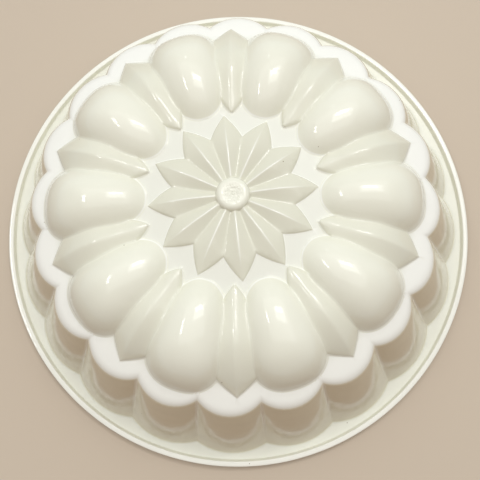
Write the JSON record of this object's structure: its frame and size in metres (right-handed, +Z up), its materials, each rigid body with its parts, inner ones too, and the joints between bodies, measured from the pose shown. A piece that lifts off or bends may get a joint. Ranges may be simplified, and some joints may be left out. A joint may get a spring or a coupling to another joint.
{
  "type": "jelly mould",
  "caption": "Round fluted jelly mould: an open plastic shell with a crowned top of domes, ridges and a daisy, standing on a flat lipped rim.",
  "frame": {"origin": "centre of the rim's flat underside, on the mould's axis", "axes": "+Z up out of the patterned top, along the mould's axis; +X through the middle of one lobe of the wall"},
  "size_m": [0.2, 0.2, 0.0603],
  "materials": {
    "cream_plastic": "gloss"
  },
  "bodies": {
    "root": {"mould_shell": "cream_plastic"}
  },
  "joints": []
}
